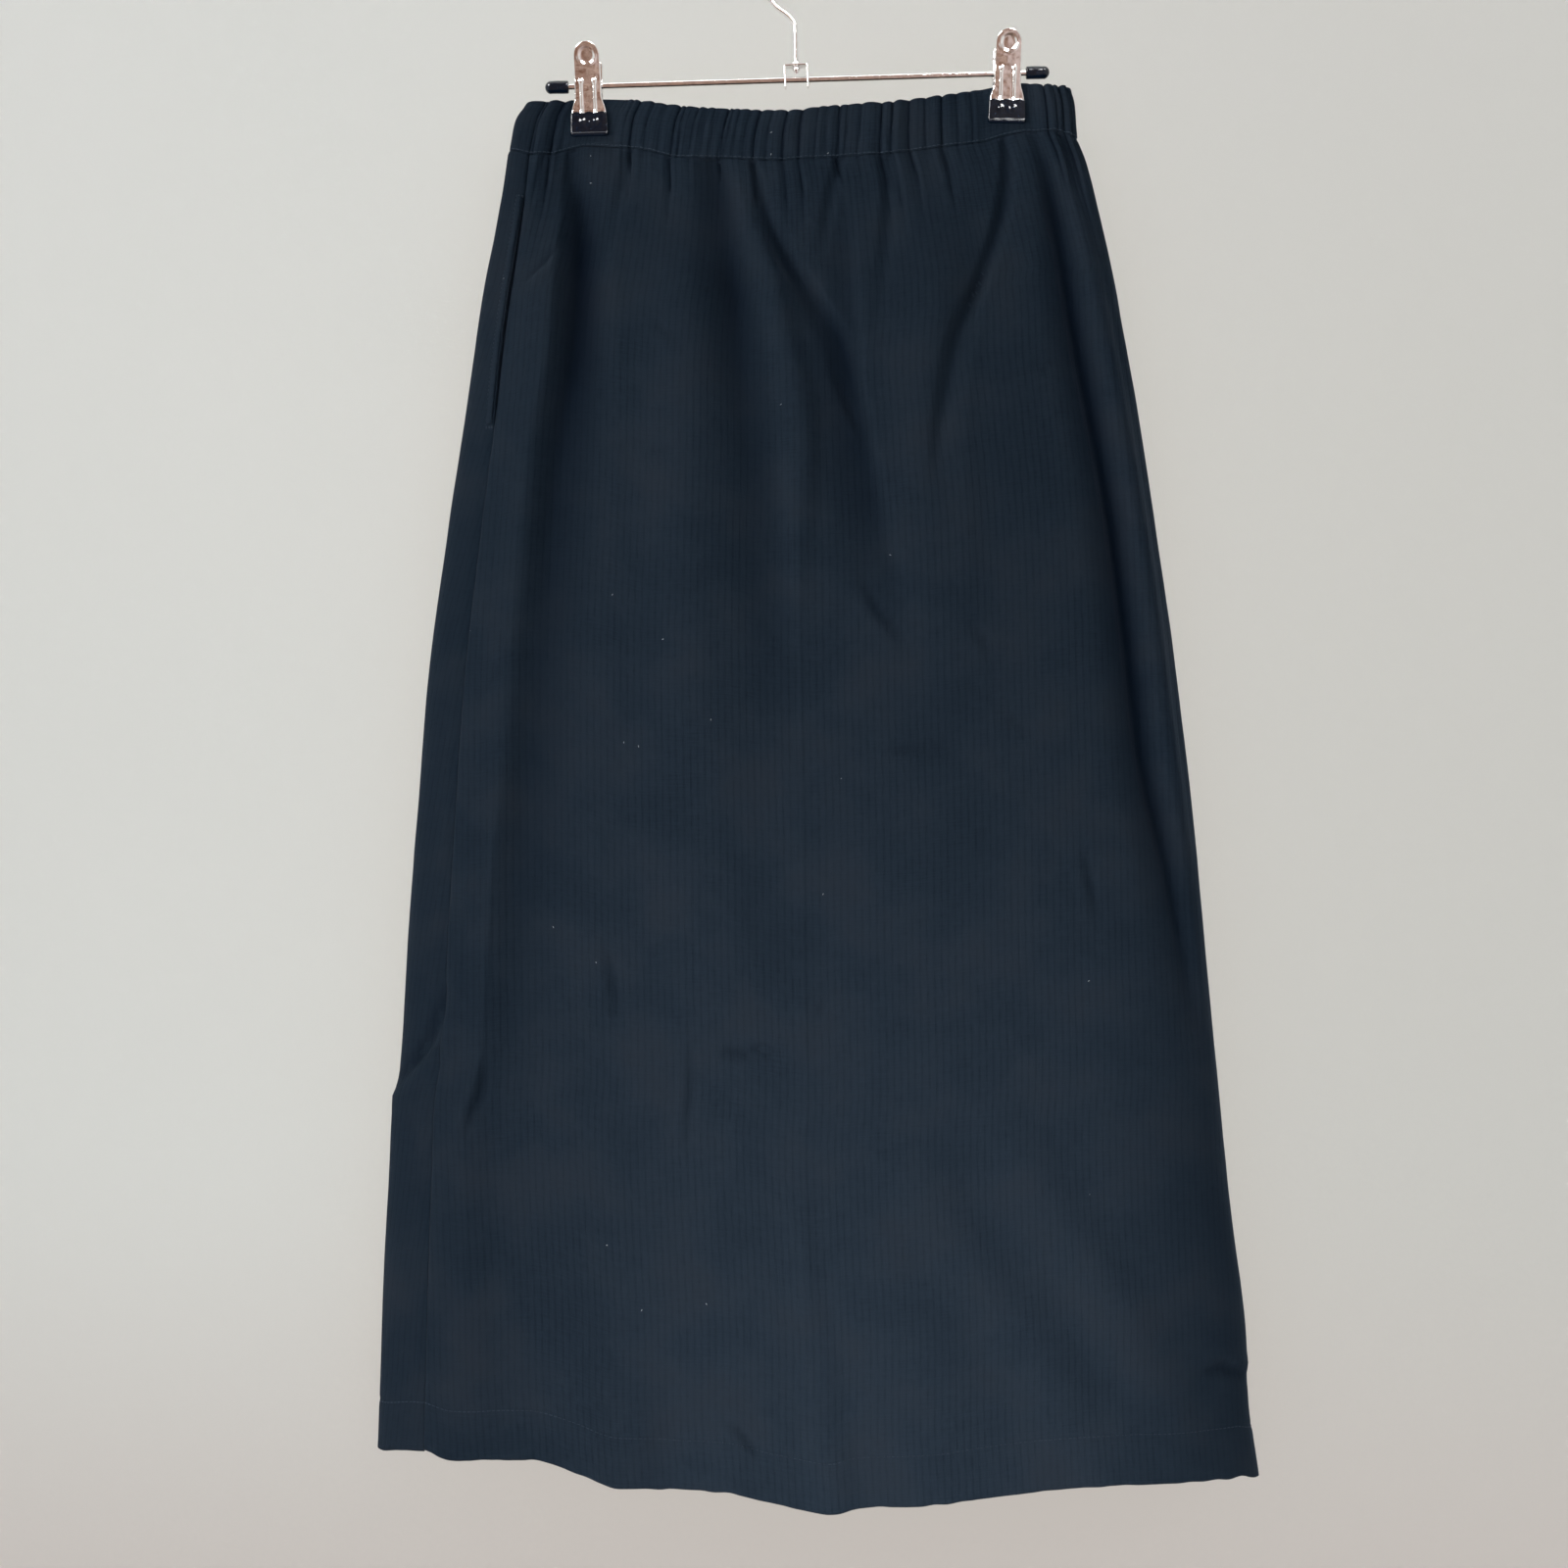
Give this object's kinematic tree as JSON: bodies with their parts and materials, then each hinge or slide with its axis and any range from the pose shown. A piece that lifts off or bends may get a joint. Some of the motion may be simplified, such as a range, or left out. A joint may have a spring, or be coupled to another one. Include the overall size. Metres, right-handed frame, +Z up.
{
  "type": "maxi skirt on a clip hanger",
  "caption": "Dark navy maxi skirt with a gathered elastic waist and a side-seam pocket, hung from a chrome rod hanger with two padded clips.",
  "frame": {"origin": "the inner top of the hanger's hook, where it rests on a rail", "axes": "+Z up; the skirt's front faces -Y; +X to the right as seen from the front; y = 0 is the plane of hook, rod and the skirt's side edges"},
  "size_m": [0.561, 0.0762, 0.9869],
  "materials": {
    "cloth": "matte, fine vertical ribs",
    "pouch": "matte plain weave",
    "steel": "polished plating",
    "vinyl": "glossy soft vinyl"
  },
  "bodies": {
    "root": {"waistband_front": "cloth", "waistband_back": "cloth", "front_panel": "cloth", "back_panel": "cloth", "pocket_edge_band": "cloth", "pocket_bag": "pouch", "hanger_rod": "steel", "rod_cap_left": "vinyl", "rod_cap_right": "vinyl", "hook_saddle": "steel", "hook": "steel", "clip_left_front": "steel", "clip_left_back": "steel", "clip_left_pad_front": "vinyl", "clip_left_pad_back": "vinyl", "clip_left_spring": "steel", "clip_right_front": "steel", "clip_right_back": "steel", "clip_right_pad_front": "vinyl", "clip_right_pad_back": "vinyl", "clip_right_spring": "steel"}
  },
  "joints": []
}
